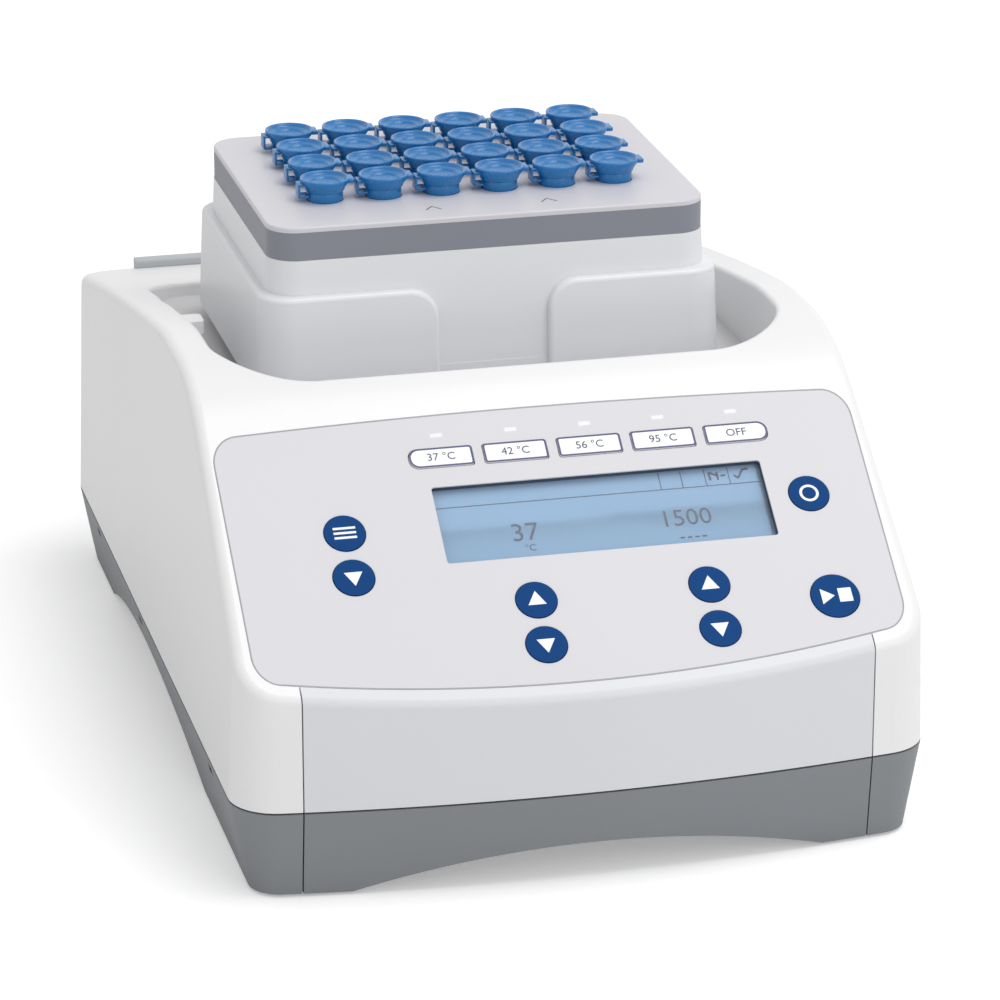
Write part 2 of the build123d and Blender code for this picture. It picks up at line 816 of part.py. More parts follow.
def counterweight():
    """Balance weight on the crank disc, opposite the pin."""
    low = crank_bottom
    ring = post(0, drive_y, low, low + counterweight_thickness, counterweight_radius)
    ring -= post(0, drive_y, low - 1, crank_top, crank_radius + seat_fit)
    ring -= post(0, drive_y, low - 1, table_height, pin_radius + 2 * orbit_radius)
    reach = 2 * counterweight_radius
    half = radians(counterweight_angle / 2)
    side, down = reach * sin(half), -reach * cos(half)
    wedge = Polyline((0, 0), (-side, down), (0, -2 * reach), (side, down), close=True)
    sector = extrude(make_face(wedge.edges()), amount=2 * counterweight_thickness)
    return ring & (Pos(0, drive_y, low) * sector)


def guide_crank(x, y):
    """Small crank that keeps the table from turning; its shaft runs in the frame."""
    shaft = post(x, drive_y + y, frame_bottom - 0.5, crank_bottom + 1, guide_shaft_radius)
    disc = post(x, drive_y + y, crank_bottom, crank_top, guide_crank_radius)
    pin = post(x, block_y + y, crank_top - 1, table_height + table_thickness - 0.5, guide_shaft_radius)
    return shaft + disc + pin


def bearing_set(centre_y, low, high):
    """Bearing rings around the drive pin and the guide pins of one plate."""
    large = Circle(bearing_radius) - Circle(shaft_radius + running_fit)
    rings = [Pos(0, centre_y, low) * extrude(large, amount=high - low)]
    small = Circle(guide_bearing_radius) - Circle(guide_shaft_radius + running_fit)
    for x, y in guide_places:
        rings.append(Pos(x, centre_y + y, low) * extrude(small, amount=high - low))
    return rings


def bearing_seats(centre_y, low, high):
    """Holes for the bearing rings of one plate."""
    seats = post(0, centre_y, low, high, bearing_radius + seat_fit)
    for x, y in guide_places:
        seats += post(x, centre_y + y, low, high, guide_bearing_radius + seat_fit)
    return seats


def drive_frame():
    """Plate on four legs over the motor, with the seats of the lower bearings."""
    body = pad(0, drive_y, frame_bottom, frame_top, frame_half_x, frame_half_y, 8.0)
    for x in (-frame_half_x + 6, frame_half_x - 6):
        for y in (-frame_half_y + 6, frame_half_y - 6):
            body += post(x, drive_y + y, chassis_top, frame_bottom + 1, frame_leg_radius)
    return body - bearing_seats(drive_y, frame_bottom - 1, frame_top + 1)


def mixing_table():
    """Plate driven in a small circle, with four posts that carry the block."""
    high = table_height + table_thickness
    body = pad(0, block_y, table_height, high, table_half_x, table_half_y, 8.0)
    for x in (-post_x, post_x):
        for y in (-post_y, post_y):
            body += post(x, block_y + y, high - 1, cooler_bottom, post_radius)
    return body - bearing_seats(block_y, table_height - 1, high + 1)


def heat_sink():
    """Aluminium plate under the block with cooling fins below it."""
    body = pad(0, block_y, cooler_bottom, cooler_top, cooler_half_x, cooler_half_y, 5.0)
    for index in range(fin_count):
        x = (index - (fin_count - 1) / 2) * fin_pitch - fin_thickness / 2
        low_y, high_y = block_y - fin_half_length, block_y + fin_half_length
        body += box(x, x + fin_thickness, low_y, high_y, cooler_bottom - fin_height, cooler_bottom + 1)
    return body


def peltier_modules():
    """Two flat heating and cooling elements between the heat sink and the block."""
    half = peltier_size / 2
    return [
        box(x - half, x + half, block_y - half, block_y + half, cooler_top, block_bottom)
        for x in (-peltier_x, peltier_x)
    ]


def tube_places():
    """Tube positions, front row first."""
    for row in range(tube_rows):
        for column in range(tube_columns):
            x = (column - (tube_columns - 1) / 2) * column_pitch
            yield row, column, x, front_row_y + row * row_pitch


def tube_outline(grow=0.0):
    """Half section of the outside of a tube, up to the plate."""
    radius = tube_radius + grow
    tip = tube_tip_radius + grow
    low = tube_bottom - grow
    points = [(0, low), (tip, low), (radius, tube_bottom + tube_cone), (radius, plate_top), (0, plate_top)]
    return make_face(Polyline(*points, close=True).edges())


def wells():
    """Holes for all tubes, a little wider than the tubes."""
    one = revolve(Plane.XZ * tube_outline(well_clearance), Axis.Z)
    return Compound([Pos(x, y) * one for row, column, x, y in tube_places()])


def tube_block():
    """Heated aluminium block with one well for each tube."""
    half_x = (tube_columns - 1) * column_pitch / 2 + block_margin
    half_y = (tube_rows - 1) * row_pitch / 2 + block_margin
    return pad(0, tube_mid_y, block_bottom, plate_bottom, half_x, half_y, 6.0) - wells()


def plate_pad(low, high, extra=0.0):
    """Slab with the outline of the top plate, grown or shrunk by extra."""
    half_x, half_y = plate_width / 2 + extra, plate_length / 2 + extra
    return pad(0, block_y, low, high, half_x, half_y, plate_corner + extra)


def top_plate():
    """Light plate on the block with a hole for each tube."""
    body = fillet(plate_pad(plate_bottom, plate_top).edges().group_by(Axis.Z)[-1], 0.6)
    return body - wells()


def plate_frame():
    """Dark band under the top plate, round the top of the block."""
    return plate_pad(band_bottom, plate_bottom) - plate_pad(band_bottom - 1, plate_top, -band_wall)


def tier(low, low_extra, high, high_extra, corner):
    """Slightly flared slab of the block cover."""
    sections = []
    for z, extra in ((low, low_extra), (high, high_extra)):
        half_x, half_y = plate_width / 2 + extra, plate_length / 2 + extra
        sections.append(Pos(0, block_y, z) * RectangleRounded(2 * half_x, 2 * half_y, corner + extra))
    return loft([section.face() for section in sections])


def skirt_edges(skirt):
    """Outer edges round the top of the skirt and down both sides of its notch."""
    chosen = []
    for edge in skirt.edges():
        bounds, middle = edge.bounding_box(), edge.center()
        half_x, half_y = plate_width / 2 + step_depth - 1, plate_length / 2 + step_depth - 1
        outer = abs(middle.X) > half_x or abs(middle.Y - block_y) > half_y
        top = bounds.min.Z > step_z - step_depth / 10
        side = bounds.size.Z > step_depth and abs(middle.X) < notch_half_width + notch_round
        if outer and (top or side):
            chosen.append(edge)
    return chosen


def block_cover():
    """White skirt of the block in two steps, with a notch at the middle of the front."""
    core = tier(skirt_bottom, core_flare, band_bottom, core_margin, plate_corner)
    lower = tier(skirt_bottom, step_depth + skirt_flare, step_z, step_depth, plate_corner - 3)
    notch_back = block_y - plate_length / 2 + cover_wall
    notch_front = block_y - plate_length / 2 - 2 * (step_depth + skirt_flare)
    notch = Pos(0, notch_back) * (Rot(90, 0, 0) * extrude(notch_face(), amount=notch_back - notch_front))
    lower -= notch - core
    lower = fillet(skirt_edges(lower), skirt_round)
    low_extra, high_extra = step_depth + skirt_flare - cover_wall, step_depth - cover_wall
    low_inside = tier(skirt_bottom - 1, low_extra, step_z - cover_wall, high_extra, plate_corner - 3)
    high_inside = tier(step_z - 2 * cover_wall, -cover_wall, band_bottom + 1, -cover_wall, plate_corner)
    wide = notch_half_width + notch_round + cover_wall
    thick = box(-wide, wide, notch_front, notch_back, skirt_bottom - 2, step_z)
    above = box(-body_width, body_width, -body_depth, body_depth, step_z, band_bottom)
    body = lower - (low_inside - thick) + (core & above) - high_inside
    half_x, half_y = plate_width / 2 + step_depth, plate_length / 2 + step_depth
    shelf = pad(0, block_y, cooler_top, cooler_top + shelf_thickness, half_x, half_y, 8.0)
    inner_x, inner_y = cooler_half_x - shelf_overlap, cooler_half_y - shelf_overlap
    shelf -= pad(0, block_y, cooler_top - 1, cooler_top + 2 * shelf_thickness, inner_x, inner_y, 5.0)
    return body + (shelf & low_inside)


def notch_face():
    """Outline of the notch, standing upright; its sides turn outward at the top round the skirt's corners."""
    half, low, corner = notch_half_width, skirt_bottom - 1, step_z - notch_round
    wide, bend, high = half + notch_round, notch_round * (1 - cos(radians(45))), step_z + 1
    right_side = Line((half, low), (half, corner))
    right_turn = ThreePointArc((half, corner), (half + bend, step_z - bend), (wide, step_z))
    over = Polyline((wide, step_z), (wide, high), (-wide, high), (-wide, step_z))
    left_turn = ThreePointArc((-wide, step_z), (-half - bend, step_z - bend), (-half, corner))
    left_side = Polyline((-half, corner), (-half, low), (half, low))
    edges = []
    for piece in (right_side, right_turn, over, left_turn, left_side):
        edges.extend(piece.edges())
    return make_face(edges)


def tube(x, y):
    """Sample tube standing in its well, with its closed lid."""
    inner = tube_radius - tube_wall
    outside = [
        (0, tube_bottom),
        (tube_tip_radius, tube_bottom),
        (tube_radius, tube_bottom + tube_cone),
        (tube_radius, plate_top),
        (collar_radius, plate_top),
        (collar_radius, plate_top + collar_height),
        (tube_radius + 0.3, plate_top + collar_height),
        (tube_radius + 0.3, plate_top + collar_height + neck_height),
        (inner, plate_top + collar_height + neck_height),
        (inner, tube_bottom + tube_cone),
        (tube_tip_radius - tube_wall, tube_bottom + tube_wall),
        (0, tube_bottom + tube_wall),
    ]
    cup = revolve(Plane.XZ * make_face(Polyline(*outside, close=True).edges()), Axis.Z)
    rim = plate_top + collar_height + neck_height
    top = rim + lid_height
    flare = [
        (0, rim),
        (tube_radius + 0.3, rim),
        (lid_radius, top - 0.9),
        (lid_radius, top),
        (lid_radius - 1.2, top),
        (lid_radius - 1.8, top - 0.8),
        (0, top - 0.8),
    ]
    lid = revolve(Plane.XZ * make_face(Polyline(*flare, close=True).edges()), Axis.Z)
    lid += post(0, 0, rim - lid_plug, rim + 1, inner - slip)
    half = lid_tab_width / 2
    tab = box(-lid_hinge_reach, lid_tab_reach, -half, half, top - lid_tab_thickness - 0.9, top - 0.9)
    lid += tab
    return Pos(x, y) * cup, Pos(x, y) * lid


def well_floor():
    """Tray that closes the bottom of the recess, with a collar round the posts of the table."""
    half_x = post_x + post_radius + orbit_radius + tray_clearance
    half_y = post_y + post_radius + orbit_radius + tray_clearance
    low = well_floor_height - tray_thickness
    high = well_floor_height + tray_collar
    wall_x, wall_y = half_x + tray_collar_wall, half_y + tray_collar_wall
    body = well_block(low, well_floor_height, well_wall)
    body += pad(0, drive_y, low, high, wall_x, wall_y, 6.0)
    return body - pad(0, drive_y, low - 1, high + 1, half_x, half_y, 4.5)


def power_supply():
    """Supply board on short studs with its transformer, capacitors and cooling strip."""
    x_low, y_low = supply_low
    x_high, y_high = supply_high
    board_low_z = chassis_top + supply_stud_height
    board_high_z = board_low_z + board_thickness
    seat_z = board_high_z - board_thickness / 3
    body = box(x_low, x_high, y_low, y_high, board_low_z, board_high_z)
    inset = supply_stud_inset
    for x in (x_low + inset, x_high - inset):
        for y in (y_low + inset, y_high - inset):
            body += post(x, y, chassis_top, board_low_z + board_thickness / 3, inset - board_thickness)
    inset = supply_part_inset
    x, y = x_low + inset, y_low + inset
    top = board_high_z + transformer_height
    body += box(x, x + transformer_width, y, y + transformer_length, seat_z, top)
    x = x_high - 2 * inset - 2 * capacitor_radius + cooling_strip_thickness
    top = board_high_z + cooling_strip_height
    body += box(x, x + cooling_strip_thickness, y_low + inset, y_high - inset, seat_z, top)
    for y in (y_low + inset + cooling_strip_thickness, y_high - inset - cooling_strip_thickness):
        body += post(x_high - inset - cooling_strip_thickness, y, seat_z, board_high_z + capacitor_height,
                     capacitor_radius)
    return body


def main_board():
    """Control board behind the front, on studs of the base."""
    x_low, y_low = circuit_low
    x_high, y_high = circuit_high
    top = circuit_height + board_thickness
    seat_z = top - board_thickness / 3
    body = box(x_low, x_high, y_low, y_high, circuit_height, top)
    middle, half = (y_low + y_high) / 2, chip_size / 2
    body += box(-half, half, middle - half, middle + half, seat_z, top + chip_height)
    for x in (x_low + plug_inset, x_high - plug_inset - plug_length):
        low = y_low + plug_inset / 2
        body += box(x, x + plug_length, low, low + plug_width, seat_z, top + plug_height)
        for shift in (plug_inset / 2, plug_length - plug_inset / 2):
            body += post(x + shift, y_high - plug_inset, seat_z, top + plug_height, plug_inset / 3)
    return body


def slots():
    """Ventilation slots inside a circle in front of the fan."""
    cuts = []
    for index in range(vent_slot_count):
        z = (index - (vent_slot_count - 1) / 2) * vent_slot_pitch
        half = sqrt(vent_radius**2 - z**2)
        shape = SlotOverall(2 * half, vent_slot_height)
        cuts.append(along_y(shape, fan_x, rear_panel_front - 1, rear_y, fan_z + z))
    return cuts


def fan_corners():
    """Positions of the screws of the fan, across and up."""
    reach = fan_screw_spacing
    return [(fan_x + dx, fan_z + dz) for dx in (-reach, reach) for dz in (-reach, reach)]


def along_y(shape, x, y_low, y_high, z):
    """Flat shape standing upright and facing the rear, raised between two depths."""
    return Pos(x, y_high, z) * (Rot(90, 0, 0) * extrude(shape, amount=y_high - y_low))


def inlet_outline(grow=0.0):
    """Cut-out of the power inlet in the rear panel."""
    return Rectangle(inlet_flange_width - 6 + 2 * grow, inlet_flange_height - 6 + 2 * grow)


def rear_panel():
    """Upright panel of the rear with a raised rim, fan slots and the cut-out of the power inlet."""
    deck = housing_solid(split_z) & box(-1, 1, rear_y - 2, rear_y, split_z, crest_height)
    high = deck.bounding_box().max.Z + rear_lip_height
    half = rear_panel_half_width
    body = box(-half, half, rear_panel_front, rear_y - 0.4, rear_panel_bottom, high)
    body = fillet(body.edges().filter_by(Axis.X).group_by(Axis.Z)[-1], 1.2)
    inner = half - rear_panel_rim
    field_low, field_high = rear_panel_bottom + rear_panel_rim, high - rear_rim_width
    body -= box(-inner, inner, rear_panel_back, rear_y + 1, field_low, field_high)
    for cut in slots():
        body -= cut
    body -= along_y(inlet_outline(slip), inlet_x, rear_panel_front - 1, rear_y, inlet_z)
    for x, z in fan_corners():
        body -= along_y(Circle(fan_screw_radius + 4 * slip), x, rear_panel_front - 1, rear_y, z)
    return body


def fan_frame():
    """Square fan body with its round duct, spokes and the pin of the rotor."""
    square = RectangleRounded(fan_size, fan_size, 4.0)
    body = along_y(square, fan_x, fan_front, rear_panel_front, fan_z)
    body -= along_y(Circle(fan_duct_radius), fan_x, fan_front - 1, rear_panel_front + 1, fan_z)
    spoke = Rectangle(2 * fan_duct_radius + 2, fan_spoke)
    for angle in (45, 135):
        body += along_y(Rot(0, 0, angle) * spoke, fan_x, fan_front, fan_front + fan_spoke, fan_z)
    body += along_y(Circle(fan_hub_radius), fan_x, fan_front, fan_front + fan_spoke, fan_z)
    body += along_y(Circle(fan_pin_radius), fan_x, fan_front, rear_panel_front - 2, fan_z)
    for x, z in fan_corners():
        body -= along_y(Circle(fan_screw_radius + slip), x, fan_front - 1, rear_panel_front + 1, z)
    return body


def fan_rotor():
    """Fan wheel on the pin of the fan frame."""
    low, high = fan_front + fan_spoke + 1, rear_panel_front - 1
    body = along_y(Circle(fan_hub_radius), fan_x, low, high, fan_z)
    length = fan_duct_radius - 1.2 - fan_hub_radius + 1
    middle = (low + high) / 2
    for index in range(fan_blades):
        blade = Pos(fan_hub_radius - 1 + length / 2, 0, 0) * Box(length, 1.2, 12.0)
        turn = Rot(0, index * 360 / fan_blades, 0) * Rot(fan_blade_pitch, 0, 0)
        body += Pos(fan_x, middle, fan_z) * turn * blade
    body &= along_y(Circle(fan_duct_radius - 0.8), fan_x, low, high, fan_z)
    return body - along_y(Circle(fan_pin_radius + running_fit), fan_x, low - 1, high + 1, fan_z)


def fan_screws():
    """Screws through the rear panel into the fan."""
    one = screw(fan_depth, fan_screw_radius, 2 * fan_screw_radius, 1.4)
    return [Pos(x, rear_panel_back, z) * Rot(90, 0, 0) * one for x, z in fan_corners()]


def power_inlet():
    """Mains inlet with a fused drawer outline and the frame of the power switch beside it."""
    flange = RectangleRounded(inlet_flange_width, inlet_flange_height, 3.0)
    outer = rear_panel_back + inlet_flange_thickness
    body = along_y(flange, inlet_x, rear_panel_back, outer, inlet_z)
    body += along_y(inlet_outline(), inlet_x, outer - inlet_body_depth, rear_panel_back + 1, inlet_z)
    socket = Rectangle(socket_width, socket_height)
    socket = chamfer(socket.vertices().sort_by(Axis.Y)[-2:], socket_chamfer)
    socket_x = inlet_x + socket_offset
    body -= along_y(socket, socket_x, outer - socket_depth, outer + 1, inlet_z)
    for dx, dz in ((-pin_spacing, -2.0), (pin_spacing, -2.0), (0.0, 2.0)):
        blade = Rectangle(1.6, 4.6)
        body += along_y(blade, socket_x + dx, outer - socket_depth - 1, outer - 3, inlet_z + dz)
    switch_x = inlet_x + switch_offset
    room = Rectangle(rocker_width + 2 * rocker_gap, 2 * rocker_half_length + 2 * rocker_gap)
    body -= along_y(room, switch_x, outer - rocker_depth - 3 * rocker_gap, outer + 1, inlet_z)
    pivot = Pos(switch_x, outer - rocker_depth / 2, inlet_z) * Rot(0, 90, 0)
    return body - pivot * Cylinder(rocker_pivot_radius + running_fit, rocker_width + 4)


def power_switch():
    """Rocker of the power switch, tilted to its off side."""
    outer = rear_panel_back + inlet_flange_thickness
    switch_x = inlet_x + switch_offset
    tip, low = rocker_half_length - 0.6, rocker_depth / 2 - 1.0
    face = Polyline((low, -tip), (low - 1.0, 0), (low, tip), (-low, tip - 3), (-low, 3 - tip), close=True)
    body = extrude(Plane.YZ * make_face(face.edges()), amount=rocker_width / 2, both=True)
    body = Rot(rocker_tilt / 2, 0, 0) * body
    body += Rot(0, 90, 0) * Cylinder(rocker_pivot_radius, rocker_width + 3)
    return Pos(switch_x, outer - rocker_depth / 2, inlet_z) * body


def main():
    """Write every piece."""
    os.makedirs("parts", exist_ok=True)
    save("base_shell", base_shell())
    save("base_front_cover", base_front_cover())
    save("upper_housing", upper_housing())
    save("front_cover", front_cover())
    save("rear_panel", rear_panel())
    save("well_floor", well_floor())
    save("keypad_overlay", keypad_overlay())
    gasket, window, module = display_parts()
    save("display_gasket", gasket)
    save("display_window", window)
    save("display_module", module)
    save("keypad_board", keypad_board())
    save("led_lights", *[ON_PANEL * bar for bar in light_bars()])
    for name, key in key_bodies().items():
        save(name, key)
    save("rubber_feet", *rubber_feet())
    save("screws", *housing_screws(), *fan_screws())
    save("chassis_plate", chassis_plate())
    save("motor_housing", motor_housing())
    save("motor_rotor", motor_rotor())
    save("eccentric_shaft", eccentric_shaft())
    save("counterweight", counterweight())
    save("drive_frame", drive_frame())
    save("frame_bearings", *bearing_set(drive_y, frame_bottom, frame_top))
    for index, place in enumerate(guide_places):
        save(f"guide_crank_{index + 1}", guide_crank(*place))
    save("mixing_table", mixing_table())
    save("table_bearings", *bearing_set(block_y, table_height, table_height + table_thickness))
    save("heat_sink", heat_sink())
    save("peltier_modules", *peltier_modules())
    save("tube_block", tube_block())
    save("block_cover", block_cover())
    save("plate_frame", plate_frame())
    save("top_plate", top_plate())
    save("power_supply", power_supply())
    save("main_board", main_board())
    save("fan_frame", fan_frame())
    save("fan_rotor", fan_rotor())
    save("power_inlet", power_inlet())
    save("power_switch", power_switch())
    rows = {}
    for row, column, x, y in tube_places():
        name = f"tube_a{column + 1}" if row == 0 else f"tubes_row_{'abcd'[row]}"
        rows.setdefault(name, []).extend(tube(x, y))
    for name, shapes in rows.items():
        save(name, *shapes)


main()
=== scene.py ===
import math

import bmesh
import bpy
from mathutils import Euler, Matrix, Vector


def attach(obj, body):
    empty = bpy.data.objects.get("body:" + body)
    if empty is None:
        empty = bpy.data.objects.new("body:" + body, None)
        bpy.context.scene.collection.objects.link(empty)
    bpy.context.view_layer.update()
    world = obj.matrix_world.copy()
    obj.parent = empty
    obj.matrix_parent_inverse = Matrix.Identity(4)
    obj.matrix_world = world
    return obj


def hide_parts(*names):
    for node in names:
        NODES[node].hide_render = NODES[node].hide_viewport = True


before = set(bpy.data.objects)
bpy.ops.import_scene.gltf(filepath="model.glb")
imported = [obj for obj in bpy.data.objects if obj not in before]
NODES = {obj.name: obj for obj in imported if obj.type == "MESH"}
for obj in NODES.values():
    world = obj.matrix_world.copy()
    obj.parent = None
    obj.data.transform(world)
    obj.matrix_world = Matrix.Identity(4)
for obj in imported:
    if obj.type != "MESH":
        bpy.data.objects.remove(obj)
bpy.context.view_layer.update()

# Sizes and places are in millimetres, as in the CAD, and turned into metres by MM
MM = 0.001

# Housing
HALF_WIDTH = 103.0
FRONT_Y = -152.0
FRONT_BOW = 8.6
FRONT_EDGE_HEIGHT = 57.3

# Panel frame: x across, v up the slope from the middle of the display, n outward
DISPLAY_Y = -103.0
SLOPE = math.radians(36.7)
PANEL_ORIGIN = Vector((0.0, DISPLAY_Y, FRONT_EDGE_HEIGHT + (DISPLAY_Y - FRONT_Y) * math.tan(SLOPE)))
PANEL_UP = Vector((0.0, math.cos(SLOPE), math.sin(SLOPE)))
PANEL_OUT = Vector((0.0, -math.sin(SLOPE), math.cos(SLOPE)))

# Thickness of a print on the keys, the display and the rocker
PRINT = 0.05


def on_panel(x, v, n=0.0):
    """Point in metres from panel millimetres."""
    return (PANEL_ORIGIN + Vector((x, 0.0, 0.0)) + PANEL_UP * v + PANEL_OUT * n) * MM


# Materials


def new_material(name):
    """Material with an empty node tree and its output."""
    mat = bpy.data.materials.new(name)
    mat.use_nodes = True
    tree = mat.node_tree
    tree.nodes.clear()
    out = tree.nodes.new("ShaderNodeOutputMaterial")
    return mat, tree, out


def link(tree, a, b):
    """Link from an output to an input."""
    tree.links.new(a, b)


def noise(tree, scale, detail=4.0, rough=0.55):
    """Noise in object space; coordinates are metres."""
    coord = tree.nodes.new("ShaderNodeTexCoord")
    tex = tree.nodes.new("ShaderNodeTexNoise")
    tex.inputs["Scale"].default_value = scale
    tex.inputs["Detail"].default_value = detail
    tex.inputs["Roughness"].default_value = rough
    link(tree, coord.outputs["Object"], tex.inputs["Vector"])
    return tex


def ramp(tree, source, low, high, at=(0.3, 0.7)):
    """Two-colour ramp on a value."""
    node = tree.nodes.new("ShaderNodeValToRGB")
    node.color_ramp.elements[0].position = at[0]
    node.color_ramp.elements[1].position = at[1]
    node.color_ramp.elements[0].color = (*low, 1.0)
    node.color_ramp.elements[1].color = (*high, 1.0)
    link(tree, source, node.inputs["Fac"])
    return node


def spread(tree, source, low, high):
    """Value mapped from 0..1 to low..high."""
    node = tree.nodes.new("ShaderNodeMapRange")
    node.inputs["To Min"].default_value = low
    node.inputs["To Max"].default_value = high
    link(tree, source, node.inputs["Value"])
    return node.outputs["Result"]


SLOW_SCALE = 9.0
ROUGH_SPREAD = 0.05
DENT_DEPTH = 0.0002
COAT_ROUGH = 0.12


def moulded(name, colour, rough, vary, grain, bump, coat=0.0, metal=0.0, spec=0.5):
    """Moulded or painted surface: slow colour drift, fine grain in roughness and bump."""
    mat, tree, out = new_material(name)
    shader = tree.nodes.new("ShaderNodeBsdfPrincipled")
    slow = noise(tree, SLOW_SCALE, 3.0)
    low = tuple(max(c * (1.0 - vary), 0.0) for c in colour)
    high = tuple(min(c * (1.0 + vary), 1.0) for c in colour)
    tone = ramp(tree, slow.outputs["Fac"], low, high)
    link(tree, tone.outputs["Color"], shader.inputs["Base Color"])
    fine = noise(tree, grain, 3.0)
    grainy = spread(tree, fine.outputs["Fac"], rough - ROUGH_SPREAD, rough + ROUGH_SPREAD)
    link(tree, grainy, shader.inputs["Roughness"])
    dent = tree.nodes.new("ShaderNodeBump")
    dent.inputs["Strength"].default_value = bump
    dent.inputs["Distance"].default_value = DENT_DEPTH
    link(tree, fine.outputs["Fac"], dent.inputs["Height"])
    link(tree, dent.outputs["Normal"], shader.inputs["Normal"])
    shader.inputs["Metallic"].default_value = metal
    shader.inputs["Coat Weight"].default_value = coat
    shader.inputs["Coat Roughness"].default_value = COAT_ROUGH
    shader.inputs["Specular IOR Level"].default_value = spec
    link(tree, shader.outputs["BSDF"], out.inputs["Surface"])
    return mat


def srgb(code):
    """Linear colour from a hex code."""
    parts = [int(code[i:i + 2], 16) / 255.0 for i in (0, 2, 4)]
    return tuple(c / 12.92 if c <= 0.04045 else ((c + 0.055) / 1.055) ** 2.4 for c in parts)


# Each line: name, colour, roughness, colour drift, scale of the grain, strength of the bump
M = {
    "white": moulded("housing_white", srgb("efeff0"), 0.38, 0.012, 1400.0, 0.05, coat=0.12),
    "front": moulded("cover_front_white", srgb("dedfe2"), 0.42, 0.012, 1400.0, 0.05, coat=0.05),
    "overlay": moulded("membrane_white", srgb("dddce0"), 0.5, 0.01, 2600.0, 0.02, spec=0.25),
    "base": moulded("base_grey", srgb("84878b"), 0.5, 0.03, 1300.0, 0.12),
    "rear": moulded("rear_grey", srgb("b9bcbf"), 0.48, 0.02, 1300.0, 0.1),
    "tray": moulded("tray_grey", srgb("d6d6d7"), 0.5, 0.03, 1300.0, 0.1),
    "skirt": moulded("skirt_white", srgb("e6e7ea"), 0.36, 0.012, 1400.0, 0.05, coat=0.12),
    "band": moulded("band_grey", srgb("858892"), 0.45, 0.02, 1300.0, 0.08),
    "plate": moulded("plate_grey", srgb("d3d1d6"), 0.4, 0.02, 1500.0, 0.08),
    # Display gasket: its dark colour is partly the gasket's own and partly painted shade for the shadow
    # inside the display recess
    "dark": moulded("gasket_dark", srgb("3b4656"), 0.6, 0.05, 900.0, 0.1),
    "lcd": moulded("display_blue", srgb("90b6d8"), 0.6, 0.015, 700.0, 0.01, spec=0.2),
    "navy": moulded("key_navy", srgb("06427f"), 0.6, 0.04, 1800.0, 0.04, spec=0.12),
    "key": moulded("key_white", srgb("f4f4f6"), 0.33, 0.01, 1800.0, 0.03, coat=0.2),
    "line": moulded("print_line", srgb("3e4273"), 0.45, 0.05, 1500.0, 0.02),
    "ink": moulded("print_ink", srgb("2c3f5c"), 0.45, 0.05, 1500.0, 0.02),
    "thin": moulded("edge_line", srgb("a3a3a8"), 0.5, 0.05, 1500.0, 0.02),
    "mark": moulded("mark_grey", srgb("6a6864"), 0.6, 0.1, 1500.0, 0.05),
    "print": moulded("print_white", srgb("f6f8fb"), 0.4, 0.01, 1500.0, 0.02),
    "milky": moulded("light_guide", srgb("dfe2e4"), 0.3, 0.02, 900.0, 0.02, coat=0.3),
    "rubber": moulded("foot_rubber", srgb("2b2b2c"), 0.8, 0.1, 700.0, 0.3),
    "steel": moulded("zinc_steel", srgb("b4b6ba"), 0.35, 0.06, 500.0, 0.1, metal=1.0),
    "brass": moulded("weight_brass", srgb("b8954f"), 0.35, 0.06, 500.0, 0.1, metal=1.0),
    "alu": moulded("machined_alu", srgb("c9cbce"), 0.33, 0.05, 300.0, 0.1, metal=1.0),
    "motor": moulded("motor_black", srgb("303236"), 0.45, 0.05, 900.0, 0.15),
    "board": moulded("board_green", srgb("1f5a3a"), 0.45, 0.15, 120.0, 0.1, coat=0.3),
    "ceramic": moulded("ceramic_white", srgb("e6e4dd"), 0.6, 0.03, 900.0, 0.1),
    "black": moulded("inlet_black", srgb("222326"), 0.42, 0.08, 1100.0, 0.12),
    "gloss": moulded("switch_black", srgb("1d1e20"), 0.25, 0.05, 1500.0, 0.03, coat=0.4),
}


def tube_material():
    """Blue polypropylene that lets some light through."""
    mat = moulded("tube_blue", srgb("1f78b8"), 0.28, 0.06, 700.0, 0.03, coat=0.2, spec=0.4)
    shader = next(n for n in mat.node_tree.nodes if n.type == "BSDF_PRINCIPLED")
    shader.inputs["Subsurface Weight"].default_value = 0.35
    shader.inputs["Subsurface Radius"].default_value = (0.0006, 0.0012, 0.002)
    shader.inputs["Subsurface Scale"].default_value = 1.0
    return mat


def window_material():
    """Clear window: mostly see-through, with a soft gloss."""
    mat, tree, out = new_material("display_clear")
    shader = tree.nodes.new("ShaderNodeBsdfPrincipled")
    shader.inputs["Base Color"].default_value = (0.86, 0.93, 1.0, 1.0)
    fine = noise(tree, 900.0, 2.0)
    link(tree, spread(tree, fine.outputs["Fac"], 0.04, 0.1), shader.inputs["Roughness"])
    shader.inputs["Alpha"].default_value = 0.1
    link(tree, shader.outputs["BSDF"], out.inputs["Surface"])
    return mat


M["tube"] = tube_material()
M["clear"] = window_material()

# Material of each CAD node, apart from the keys and the tubes
LOOKS = {
    "base_shell": "base", "base_front_cover": "base", "upper_housing": "white", "front_cover": "front",
    "rear_panel": "rear", "well_floor": "tray", "keypad_overlay": "overlay", "display_gasket": "dark",
    "display_window": "clear", "display_module": "lcd", "keypad_board": "board", "led_lights": "milky",
    "rubber_feet": "rubber", "screws": "steel", "chassis_plate": "steel", "motor_housing": "motor",
    "motor_rotor": "steel", "eccentric_shaft": "steel", "counterweight": "brass", "drive_frame": "alu",
    "frame_bearings": "steel", "table_bearings": "steel", "mixing_table": "alu", "heat_sink": "alu",
    "peltier_modules": "ceramic", "tube_block": "alu", "block_cover": "skirt", "plate_frame": "band",
    "top_plate": "plate", "power_supply": "board", "main_board": "board", "fan_frame": "black",
    "fan_rotor": "black", "power_inlet": "black", "power_switch": "gloss",
}


